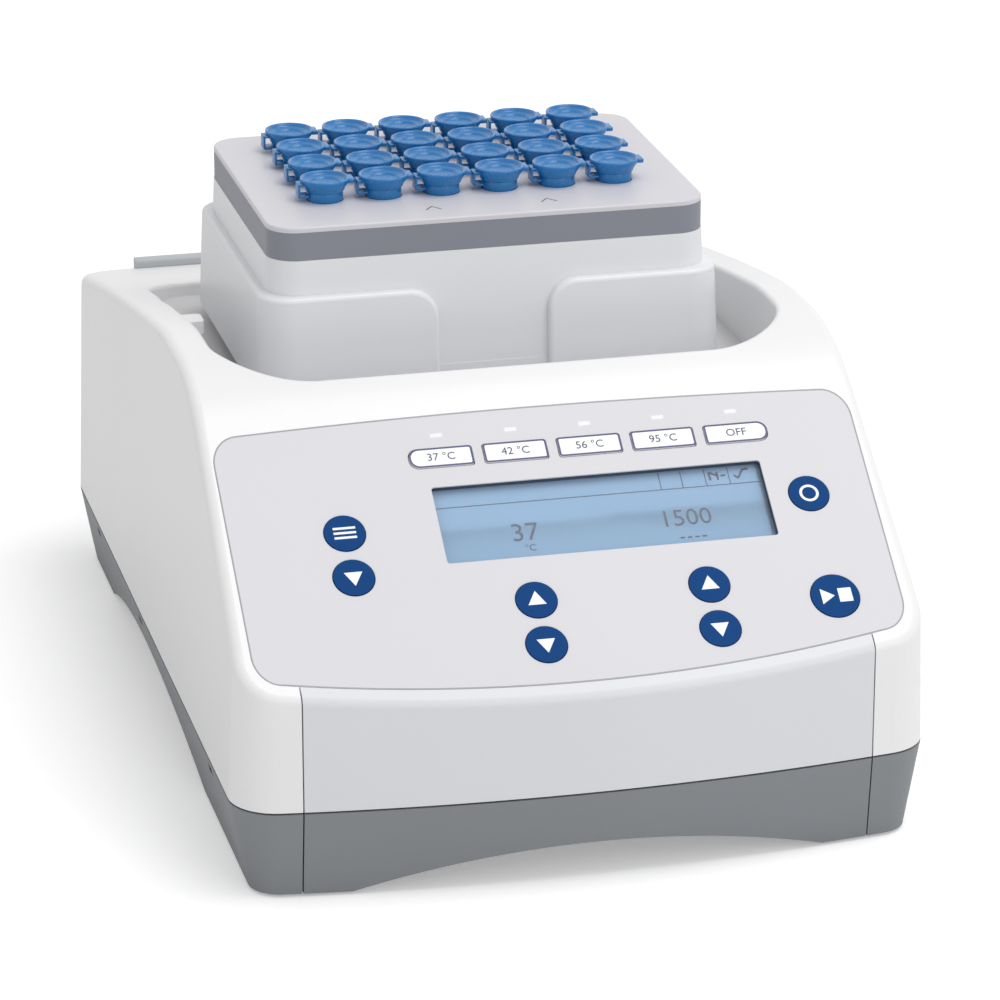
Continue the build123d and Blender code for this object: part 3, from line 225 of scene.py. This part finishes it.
def look_of(name):
    """Material key of a CAD node."""
    if name in LOOKS:
        return LOOKS[name]
    if name.startswith("key_preset"):
        return "key"
    if name.startswith("key_"):
        return "navy"
    if name.startswith("tube"):
        return "tube"
    return "steel"


for node_name, node_object in NODES.items():
    for index in range(max(1, len(node_object.material_slots))):
        if not node_object.material_slots:
            node_object.data.materials.append(None)
        node_object.material_slots[index].link = "OBJECT"
        node_object.material_slots[index].material = M[look_of(node_name)]


# Mesh helpers


def add_mesh(name, verts, faces, material, body):
    """Mesh object from points in metres, riding on a body."""
    mesh = bpy.data.meshes.new(name)
    mesh.from_pydata([tuple(v) for v in verts], [], faces)
    mesh.validate()
    mesh.update()
    obj = bpy.data.objects.new(name, mesh)
    bpy.context.scene.collection.objects.link(obj)
    mesh.materials.append(M[material])
    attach(obj, body)
    return obj


def lift(place, shapes, low, high):
    """Thin prisms from flat outlines; place turns (x, y, height) into a point."""
    verts, faces = [], []
    for outline in shapes:
        start, count = len(verts), len(outline)
        verts += [place(x, y, high) for x, y in outline] + [place(x, y, low) for x, y in outline]
        faces.append(tuple(range(start, start + count)))
        faces.append(tuple(range(start + 2 * count - 1, start + count - 1, -1)))
        for i in range(count):
            j = (i + 1) % count
            faces.append((start + i, start + count + i, start + count + j, start + j))
    return verts, faces


def ring(place, outer, inner, low, high):
    """Flat band between two outlines with the same number of points."""
    verts, faces = [], []
    count = len(outer)
    for loop, height in ((outer, high), (inner, high), (outer, low), (inner, low)):
        verts += [place(x, y, height) for x, y in loop]
    for i in range(count):
        j = (i + 1) % count
        faces.append((i, j, count + j, count + i))
        faces.append((i, 2 * count + i, 2 * count + j, j))
        faces.append((count + i, count + j, 3 * count + j, 3 * count + i))
    return verts, faces


def arc(centre_x, centre_y, radius, start, steps):
    """Points of a quarter circle from a start angle in degrees."""
    points = []
    for i in range(steps + 1):
        angle = math.radians(start + 90.0 * i / steps)
        points.append((centre_x + radius * math.cos(angle), centre_y + radius * math.sin(angle)))
    return points


def rounded(half_x, half_y, radii, centre):
    """Rounded rectangle; radii for the corners right-top, left-top, left-bottom, right-bottom."""
    points = []
    for k, (sx, sy) in enumerate(((1, 1), (-1, 1), (-1, -1), (1, -1))):
        corner_x = centre[0] + sx * (half_x - radii[k])
        corner_y = centre[1] + sy * (half_y - radii[k])
        points += arc(corner_x, corner_y, radii[k], 90.0 * k, 6)
    return points


def disc(x, v, radius, steps=40):
    """Circle outline."""
    angles = [2 * math.pi * i / steps for i in range(steps)]
    return [(x + radius * math.cos(angle), v + radius * math.sin(angle)) for angle in angles]


def text_mesh(name, words, size, place, low, material, body, centre):
    """Plain characters as a thin mesh, centred on a point of the place."""
    curve = bpy.data.curves.new(name + "_curve", "FONT")
    curve.body = words
    curve.size = size
    curve.align_x = "CENTER"
    curve.align_y = "CENTER"
    curve.resolution_u = 3
    curve.extrude = PRINT / 2
    holder = bpy.data.objects.new(name + "_holder", curve)
    bpy.context.scene.collection.objects.link(holder)
    bpy.context.view_layer.update()
    depsgraph = bpy.context.evaluated_depsgraph_get()
    mesh = bpy.data.meshes.new_from_object(holder.evaluated_get(depsgraph))
    bpy.data.objects.remove(holder, do_unlink=True)
    middle = low + PRINT / 2
    for vert in mesh.vertices:
        vert.co = place(centre[0] + vert.co.x, centre[1] + vert.co.y, middle + vert.co.z)
    mesh.name = name
    mesh.materials.clear()
    mesh.materials.append(M[material])
    obj = bpy.data.objects.new(name, mesh)
    bpy.context.scene.collection.objects.link(obj)
    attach(obj, body)
    return obj


def strokes(place, lines, width, low, high):
    """Thin straight strokes given as pairs of points."""
    shapes = []
    for (x0, y0), (x1, y1) in lines:
        length = math.hypot(x1 - x0, y1 - y0)
        dx, dy = (x1 - x0) / length * width / 2, (y1 - y0) / length * width / 2
        shapes.append([(x0 - dy, y0 + dx), (x0 + dy, y0 - dx), (x1 + dy, y1 - dx), (x1 - dy, y1 + dx)])
    return lift(place, shapes, low, high)


# Membrane edge line

MEMBRANE_HALF = 96.0
MEMBRANE_CORNER = 8.0
MEMBRANE_FRONT_MARGIN = 3.9
MEMBRANE_REAR_Y = -72.2
MEMBRANE_REAR_BOW = 2.0
EDGE_LINE_OUTER, EDGE_LINE_INNER = -0.02, 0.34
EDGE_LINE_HEIGHT = 0.04


def membrane_outline(inset):
    """Outline of the membrane in panel millimetres."""
    half, corner = MEMBRANE_HALF - inset, MEMBRANE_CORNER - inset
    bow_radius = (HALF_WIDTH ** 2 + FRONT_BOW ** 2) / (2 * FRONT_BOW)
    centre_y, radius = FRONT_Y + bow_radius, bow_radius - MEMBRANE_FRONT_MARGIN - inset
    straight = half - corner

    def low_y(x):
        return centre_y - math.sqrt(radius ** 2 - x ** 2)

    def high_y(x):
        return MEMBRANE_REAR_Y - inset - MEMBRANE_REAR_BOW * (x / MEMBRANE_HALF) ** 2

    across = [straight * (1 - i / 10) for i in range(1, 20)]
    points = arc(straight, high_y(straight) - corner, corner, 0.0, 8)
    points += [(x, high_y(x)) for x in across]
    points += arc(-straight, high_y(straight) - corner, corner, 90.0, 8)
    points += arc(-straight, low_y(straight) + corner, corner, 180.0, 8)
    points += [(-x, low_y(x)) for x in across]
    points += arc(straight, low_y(straight) + corner, corner, 270.0, 8)
    return [(x, (y - DISPLAY_Y) / math.cos(SLOPE)) for x, y in points]


edge_line = ring(on_panel, membrane_outline(EDGE_LINE_OUTER), membrane_outline(EDGE_LINE_INNER),
                 0.0, EDGE_LINE_HEIGHT)
add_mesh("membrane_edge", *edge_line, "thin", "base")

# Keys: outlines of the bar keys, values, arrows and plain symbols

KEY_TOP = 0.35
DISPLAY_X = 15.0
BAR_PITCH = 22.3
BAR_V = 23.2
BAR_HALF_X, BAR_HALF_V = 9.5, 3.3
BAR_LINE = 0.55
BAR_END_ROUND = 3.0
BAR_ROUND = 1.0
BAR_LEAST_ROUND = 0.4
VALUE_SIZE = 3.6
VALUES = ("37 °C", "42 °C", "56 °C", "95 °C", "OFF")

for i, value in enumerate(VALUES):
    x = DISPLAY_X + (i - 2) * BAR_PITCH
    left = BAR_END_ROUND if i == 0 else BAR_ROUND
    right = BAR_END_ROUND if i == len(VALUES) - 1 else BAR_ROUND
    radii = (right, left, left, right)
    inner_radii = tuple(max(r - 0.5, BAR_LEAST_ROUND) for r in radii)
    outer = rounded(BAR_HALF_X, BAR_HALF_V, radii, (x, BAR_V))
    inner = rounded(BAR_HALF_X - BAR_LINE, BAR_HALF_V - BAR_LINE, inner_radii, (x, BAR_V))
    name = f"key_preset_{i + 1}"
    add_mesh(name + "_edge", *ring(on_panel, outer, inner, KEY_TOP, KEY_TOP + PRINT), "line", name)
    text_mesh(name + "_value", value, VALUE_SIZE, on_panel, KEY_TOP, "ink", name, (x, BAR_V))

MENU_X = -62.3
TEMPERATURE_X = -11.3
SPEED_X = 40.1
SHORT_X = 76.6
SELECT_V = -15.1
UP_V = -27.9
DOWN_V = -42.9
START_V = -35.6

# Place of each arrow, and 1 for up or -1 for down
ARROWS = {
    "key_select": (MENU_X, SELECT_V, -1),
    "key_temperature_up": (TEMPERATURE_X, UP_V, 1),
    "key_temperature_down": (TEMPERATURE_X, DOWN_V, -1),
    "key_speed_up": (SPEED_X, UP_V, 1),
    "key_speed_down": (SPEED_X, DOWN_V, -1),
}
ARROW_HALF, ARROW_FOOT, ARROW_TIP = 2.7, 1.7, 2.9
for name, (x, v, way) in ARROWS.items():
    foot = v - ARROW_FOOT * way
    shape = [(x - ARROW_HALF, foot), (x + ARROW_HALF, foot), (x, v + ARROW_TIP * way)]
    if way < 0:
        shape.reverse()
    add_mesh(name + "_arrow", *lift(on_panel, [shape], KEY_TOP, KEY_TOP + PRINT), "print", name)

MENU_HALF = 3.3
MENU_GAP = 1.6
MENU_STROKE = 0.75
menu_lines = [((MENU_X - MENU_HALF, v), (MENU_X + MENU_HALF, v)) for v in (MENU_GAP, 0.0, -MENU_GAP)]
menu_mesh = strokes(on_panel, menu_lines, MENU_STROKE, KEY_TOP, KEY_TOP + PRINT)
add_mesh("key_menu_lines", *menu_mesh, "print", "key_menu")

SHORT_OUTER, SHORT_INNER = 2.9, 2.1
short_mesh = ring(on_panel, disc(SHORT_X, 0.0, SHORT_OUTER), disc(SHORT_X, 0.0, SHORT_INNER),
                  KEY_TOP, KEY_TOP + PRINT)
add_mesh("key_short_ring", *short_mesh, "print", "key_short")

START_LEFT, START_TIP = 72.0, 76.0
START_HALF = 2.6
STOP_LEFT, STOP_RIGHT = 77.2, 81.2
STOP_HALF = 2.3
start_shapes = [
    [(START_LEFT, START_V - START_HALF), (START_TIP, START_V), (START_LEFT, START_V + START_HALF)],
    [(STOP_LEFT, START_V - STOP_HALF), (STOP_RIGHT, START_V - STOP_HALF),
     (STOP_RIGHT, START_V + STOP_HALF), (STOP_LEFT, START_V + STOP_HALF)],
]
add_mesh("key_start_symbol", *lift(on_panel, start_shapes, KEY_TOP, KEY_TOP + PRINT), "print", "key_start")

# Display

LCD = -2.78
HALF_W, HALF_H = 49.5, 13.15
RULE_V = 7.4
RULE_STROKE = 0.28
BOXES_X = (34.0, 40.6, 47.8, 55.0)
display_lines = [((DISPLAY_X - HALF_W, RULE_V), (DISPLAY_X + HALF_W, RULE_V))]
display_lines += [((x, RULE_V), (x, HALF_H)) for x in BOXES_X]
add_mesh("display_rule", *strokes(on_panel, display_lines, RULE_STROKE, LCD, LCD + PRINT), "ink", "base")

# Name of the piece, characters, size and place
DISPLAY_TEXTS = (
    ("display_temperature", "37", 8.6, (-9.3, -3.3)),
    ("display_speed", "1500", 8.0, (39.0, -3.0)),
    ("display_degree", "°C", 3.2, (-8.6, -8.6)),
)
for name, words, size, centre in DISPLAY_TEXTS:
    text_mesh(name, words, size, on_panel, LCD, "ink", "base", centre)

TICK_X, TICK_V = 36.0, -9.6
TICK_PITCH, TICK_LENGTH = 2.2, 1.4
TICK_STROKE = 0.5
tick_starts = [TICK_X + TICK_PITCH * i for i in range(4)]
ticks = [((x, TICK_V), (x + TICK_LENGTH, TICK_V)) for x in tick_starts]
add_mesh("display_ticks", *strokes(on_panel, ticks, TICK_STROKE, LCD, LCD + PRINT), "ink", "base")

FLAG_STROKE = 0.7
flags = [
    ((49.2, 9.2), (49.2, 12.0)),
    ((49.2, 12.0), (51.6, 10.6)),
    ((51.6, 9.2), (51.6, 12.0)),
    ((52.6, 10.6), (54.0, 10.6)),
    ((56.6, 10.4), (57.6, 9.2)),
    ((57.6, 9.2), (59.6, 12.2)),
    ((59.6, 12.2), (61.2, 12.2)),
]
add_mesh("display_flags", *strokes(on_panel, flags, FLAG_STROKE, LCD, LCD + PRINT), "ink", "base")

# Marks at the front edge of the top plate

PLATE_TOP = 161.8
MARKS_X = (-15.7, 20.0)
MARK_FOOT_Y, MARK_TIP_Y = -16.6, -13.2
MARK_HALF = 2.4
MARK_STROKE = 0.45
MARK_HEIGHT = 0.03


def on_plate(x, y, n=0.0):
    """Point in metres on the top plate."""
    return Vector((x, y, PLATE_TOP + n)) * MM


marks = []
for x in MARKS_X:
    tip = (x, MARK_TIP_Y)
    marks += [((x - MARK_HALF, MARK_FOOT_Y), tip), (tip, (x + MARK_HALF, MARK_FOOT_Y))]
add_mesh("plate_marks", *strokes(on_plate, marks, MARK_STROKE, 0.0, MARK_HEIGHT), "mark", "block")

# Tubes: cups, flared lids with a sunk top, hinge strap and latch tab


def revolve(profile, steps, centre):
    """Surface of revolution about an upright line; the profile is (radius, height) in millimetres."""
    verts, faces, starts = [], [], []
    cx, cy = centre
    for radius, z in profile:
        starts.append(len(verts))
        if radius == 0:
            verts.append(Vector((cx, cy, z)) * MM)
        else:
            verts += [Vector((x, y, z)) * MM for x, y in disc(cx, cy, radius, steps)]
    for k in range(len(profile) - 1):
        a, b = starts[k], starts[k + 1]
        for i in range(steps):
            j = (i + 1) % steps
            if profile[k][0] == 0:
                faces.append((a, b + j, b + i))
            elif profile[k + 1][0] == 0:
                faces.append((a + i, a + j, b))
            else:
                faces.append((a + i, a + j, b + j, b + i))
    return verts, faces


BOTTOM = PLATE_TOP - 38.5
CUP = [(0, BOTTOM), (1.6, BOTTOM + 0.1), (2.1, BOTTOM + 0.7), (3.9, BOTTOM + 9.0),
       (5.2, BOTTOM + 16.6), (5.38, BOTTOM + 18.0), (5.38, PLATE_TOP - 0.2), (5.5, PLATE_TOP + 0.05),
       (5.5, PLATE_TOP + 2.6), (5.3, PLATE_TOP + 3.0)]
LID = [(5.3, PLATE_TOP + 2.9), (5.75, PLATE_TOP + 2.95), (5.95, PLATE_TOP + 3.2), (6.1, PLATE_TOP + 3.7),
       (6.7, PLATE_TOP + 4.7), (7.25, PLATE_TOP + 5.5), (7.5, PLATE_TOP + 6.2), (7.55, PLATE_TOP + 6.6),
       (7.4, PLATE_TOP + 6.9), (7.1, PLATE_TOP + 6.97), (6.75, PLATE_TOP + 6.85), (6.5, PLATE_TOP + 6.5),
       (6.25, PLATE_TOP + 6.05), (5.6, PLATE_TOP + 5.8), (4.6, PLATE_TOP + 5.75), (4.3, PLATE_TOP + 5.3),
       (4.0, PLATE_TOP + 5.1), (0, PLATE_TOP + 5.1)]
CUP_STEPS, LID_STEPS = 40, 48

# Latch tab, then upper leaf, strap and lower leaf of the hinge:
# ends along X from the tube's middle, half width, ends above the plate, and rounding
TABS = (
    ((6.4, 8.75), 2.6, (5.2, 6.5), 0.35),
    ((-8.6, -6.6), 2.2, (4.9, 5.7), 0.35),
    ((-8.6, -7.9), 2.2, (1.4, 5.5), 0.25),
    ((-8.4, -5.2), 2.2, (1.2, 2.0), 0.3),
)


def bevelled_box(bm, low, high, bevel):
    """Box with rounded edges."""
    verts = bmesh.ops.create_cube(bm, size=1.0)["verts"]
    size = Vector(high) - Vector(low)
    middle = (Vector(high) + Vector(low)) / 2
    for vert in verts:
        vert.co = Vector((vert.co.x * size.x, vert.co.y * size.y, vert.co.z * size.z)) + middle
    edges = list({edge for vert in verts for edge in vert.link_edges})
    bmesh.ops.bevel(bm, geom=edges, offset=bevel, segments=3, affect="EDGES", profile=0.6)


def tab_mesh(centres):
    """Latch tabs and hinges of the tubes at the given centres."""
    bm = bmesh.new()
    for x, y in centres:
        for (left, right), half, (low, high), bevel in TABS:
            near = (x + left, y - half, PLATE_TOP + low)
            far = (x + right, y + half, PLATE_TOP + high)
            bevelled_box(bm, near, far, bevel)
    for vert in bm.verts:
        vert.co = vert.co * MM
    mesh = bpy.data.meshes.new("tube_tabs")
    bm.to_mesh(mesh)
    bm.free()
    return mesh


def tube_mesh(centres):
    """One mesh for the tubes at the given centres."""
    verts, faces = [], []
    for centre in centres:
        for profile, steps in ((CUP, CUP_STEPS), (LID, LID_STEPS)):
            start = len(verts)
            more, cells = revolve(profile, steps, centre)
            verts += more
            faces += [tuple(start + i for i in cell) for cell in cells]
    mesh = bpy.data.meshes.new("tube")
    mesh.from_pydata([tuple(v) for v in verts], [], faces)
    bm = bmesh.new()
    bm.from_mesh(mesh)
    bm.from_mesh(tab_mesh(centres))
    bmesh.ops.recalc_face_normals(bm, faces=bm.faces)
    bm.to_mesh(mesh)
    bm.free()
    for poly in mesh.polygons:
        poly.use_smooth = True
    return mesh


def add_tubes(name, body, centres, nodes):
    """Tubes that stand for the plain CAD ones."""
    obj = bpy.data.objects.new(name, tube_mesh(centres))
    bpy.context.scene.collection.objects.link(obj)
    obj.data.materials.append(M["tube"])
    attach(obj, body)
    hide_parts(*nodes)
    return obj


TUBE_PITCH = 18.085
FRONT_ROW_Y = 2.05
COLUMNS = [(i - 2.5) * TUBE_PITCH for i in range(6)]
ROWS = [FRONT_ROW_Y + i * TUBE_PITCH for i in range(4)]
for i, x in enumerate(COLUMNS):
    add_tubes(f"front_tube_{i + 1}", f"tube_a{i + 1}", [(x, ROWS[0])], [f"tube_a{i + 1}"])
for row, y in zip("bcd", ROWS[1:]):
    add_tubes(f"row_{row}_tubes", f"tubes_row_{row}", [(x, y) for x in COLUMNS], [f"tubes_row_{row}"])

# Rocker marks

ROCKER = Vector((59.5, 147.6, 60.0))
ROCKER_REST_TILT = math.radians(7.0)
ROCKER_FACE = 2.05
ROCKER_WING_RISE = 0.114
OFF_PLACE, OFF_OUTER, OFF_INNER = -5.2, 1.7, 1.2
ON_FROM, ON_TO, ON_STROKE = 3.4, 6.8, 0.5


def on_rocker(x, y, n=0.0):
    """Point in metres on the rocker's face as it rests, tilted half of its swing."""
    point = Vector((-x, ROCKER_FACE + abs(y) * ROCKER_WING_RISE + n, y))
    return (ROCKER + Matrix.Rotation(ROCKER_REST_TILT, 3, "X") @ point) * MM


off_mesh = ring(on_rocker, disc(0.0, OFF_PLACE, OFF_OUTER, 24), disc(0.0, OFF_PLACE, OFF_INNER, 24),
                0.0, PRINT)
add_mesh("rocker_off", *off_mesh, "print", "rocker")
on_mesh = strokes(on_rocker, [((0.0, ON_FROM), (0.0, ON_TO))], ON_STROKE, 0.0, PRINT)
add_mesh("rocker_on", *on_mesh, "print", "rocker")

# Stage

FLOOR_HALF = 4.0
FLOOR_GLOW = 0.32
AMBIENT = 0.62
WHITE = (1.0, 1.0, 1.0, 1.0)


def floor_material():
    """Pale floor that keeps its shadow and reads white to the camera."""
    mat, tree, out = new_material("floor_pale")
    diffuse = tree.nodes.new("ShaderNodeBsdfDiffuse")
    slow = noise(tree, 2.0, 2.0)
    tone = ramp(tree, slow.outputs["Fac"], (0.9, 0.9, 0.9), (0.91, 0.91, 0.91))
    link(tree, tone.outputs["Color"], diffuse.inputs["Color"])
    glow = tree.nodes.new("ShaderNodeEmission")
    glow.inputs["Color"].default_value = WHITE
    glow.inputs["Strength"].default_value = FLOOR_GLOW
    both = tree.nodes.new("ShaderNodeAddShader")
    link(tree, diffuse.outputs["BSDF"], both.inputs[0])
    link(tree, glow.outputs["Emission"], both.inputs[1])
    path = tree.nodes.new("ShaderNodeLightPath")
    mix = tree.nodes.new("ShaderNodeMixShader")
    link(tree, path.outputs["Is Camera Ray"], mix.inputs["Fac"])
    link(tree, diffuse.outputs["BSDF"], mix.inputs[1])
    link(tree, both.outputs["Shader"], mix.inputs[2])
    link(tree, mix.outputs["Shader"], out.inputs["Surface"])
    return mat


def add_floor():
    """Flat floor under the object."""
    half = FLOOR_HALF
    mesh = bpy.data.meshes.new("floor")
    corners = [(-half, -half, 0), (half, -half, 0), (half, half, 0), (-half, half, 0)]
    mesh.from_pydata(corners, [], [(0, 1, 2, 3)])
    floor = bpy.data.objects.new("floor", mesh)
    bpy.context.scene.collection.objects.link(floor)
    mesh.materials.append(floor_material())


def background(tree, strength):
    """White background light."""
    node = tree.nodes.new("ShaderNodeBackground")
    node.inputs["Color"].default_value = WHITE
    node.inputs["Strength"].default_value = strength
    return node


def larger(tree, a, b):
    """Larger of two values."""
    node = tree.nodes.new("ShaderNodeMath")
    node.operation = "MAXIMUM"
    link(tree, a, node.inputs[0])
    link(tree, b, node.inputs[1])
    return node.outputs["Value"]


def add_world():
    """Even light, seen as white by the camera, in reflections and through the window."""
    world = bpy.data.worlds.new("studio")
    bpy.context.scene.world = world
    world.use_nodes = True
    tree = world.node_tree
    tree.nodes.clear()
    out = tree.nodes.new("ShaderNodeOutputWorld")
    ambient = background(tree, AMBIENT)
    seen = background(tree, 1.0)
    path = tree.nodes.new("ShaderNodeLightPath")
    direct = larger(tree, path.outputs["Is Camera Ray"], path.outputs["Is Transmission Ray"])
    shown = larger(tree, direct, path.outputs["Is Glossy Ray"])
    mix = tree.nodes.new("ShaderNodeMixShader")
    link(tree, shown, mix.inputs["Fac"])
    link(tree, ambient.outputs["Background"], mix.inputs[1])
    link(tree, seen.outputs["Background"], mix.inputs[2])
    link(tree, mix.outputs["Shader"], out.inputs["Surface"])


def area(name, place, target, size, power):
    """Soft square lamp turned to a point; metres and watts."""
    lamp = bpy.data.lights.new(name, "AREA")
    lamp.shape = "SQUARE"
    lamp.size = size
    lamp.energy = power
    obj = bpy.data.objects.new(name, lamp)
    obj.location = place
    way = Vector(target) - Vector(place)
    obj.rotation_euler = way.to_track_quat("-Z", "Y").to_euler()
    bpy.context.scene.collection.objects.link(obj)


add_floor()
add_world()
area("key_light", (0.5, -0.2, 1.7), (0.0, 0.0, 0.08), 1.0, 11.5)
area("fill_light", (0.6, -1.6, 0.8), (0.0, -0.05, 0.08), 1.0, 4.0)

# Camera, fitted to the photograph: its focal length is in pixels of a picture 1000 wide

FOCAL_PIXELS = 4743.11
PICTURE_PIXELS = 1000.0
SENSOR = 36.0
CAMERA_PLACE = (-0.321941, -1.346683, 0.575656)
CAMERA_DOWN = 20.364
CAMERA_TURN = -13.78

camera_data = bpy.data.cameras.new("camera")
camera_data.sensor_width = SENSOR
camera_data.sensor_height = SENSOR
camera_data.sensor_fit = "HORIZONTAL"
camera_data.lens = FOCAL_PIXELS * SENSOR / PICTURE_PIXELS
camera_data.shift_x = 0.0014
camera_data.shift_y = -0.0008
camera_data.clip_start = 0.05
camera = bpy.data.objects.new("camera", camera_data)
camera.location = CAMERA_PLACE
camera.rotation_euler = Euler((math.radians(90.0 - CAMERA_DOWN), 0.0, math.radians(CAMERA_TURN)), "XYZ")
bpy.context.scene.collection.objects.link(camera)
bpy.context.scene.camera = camera
bpy.context.scene.view_settings.view_transform = "Standard"
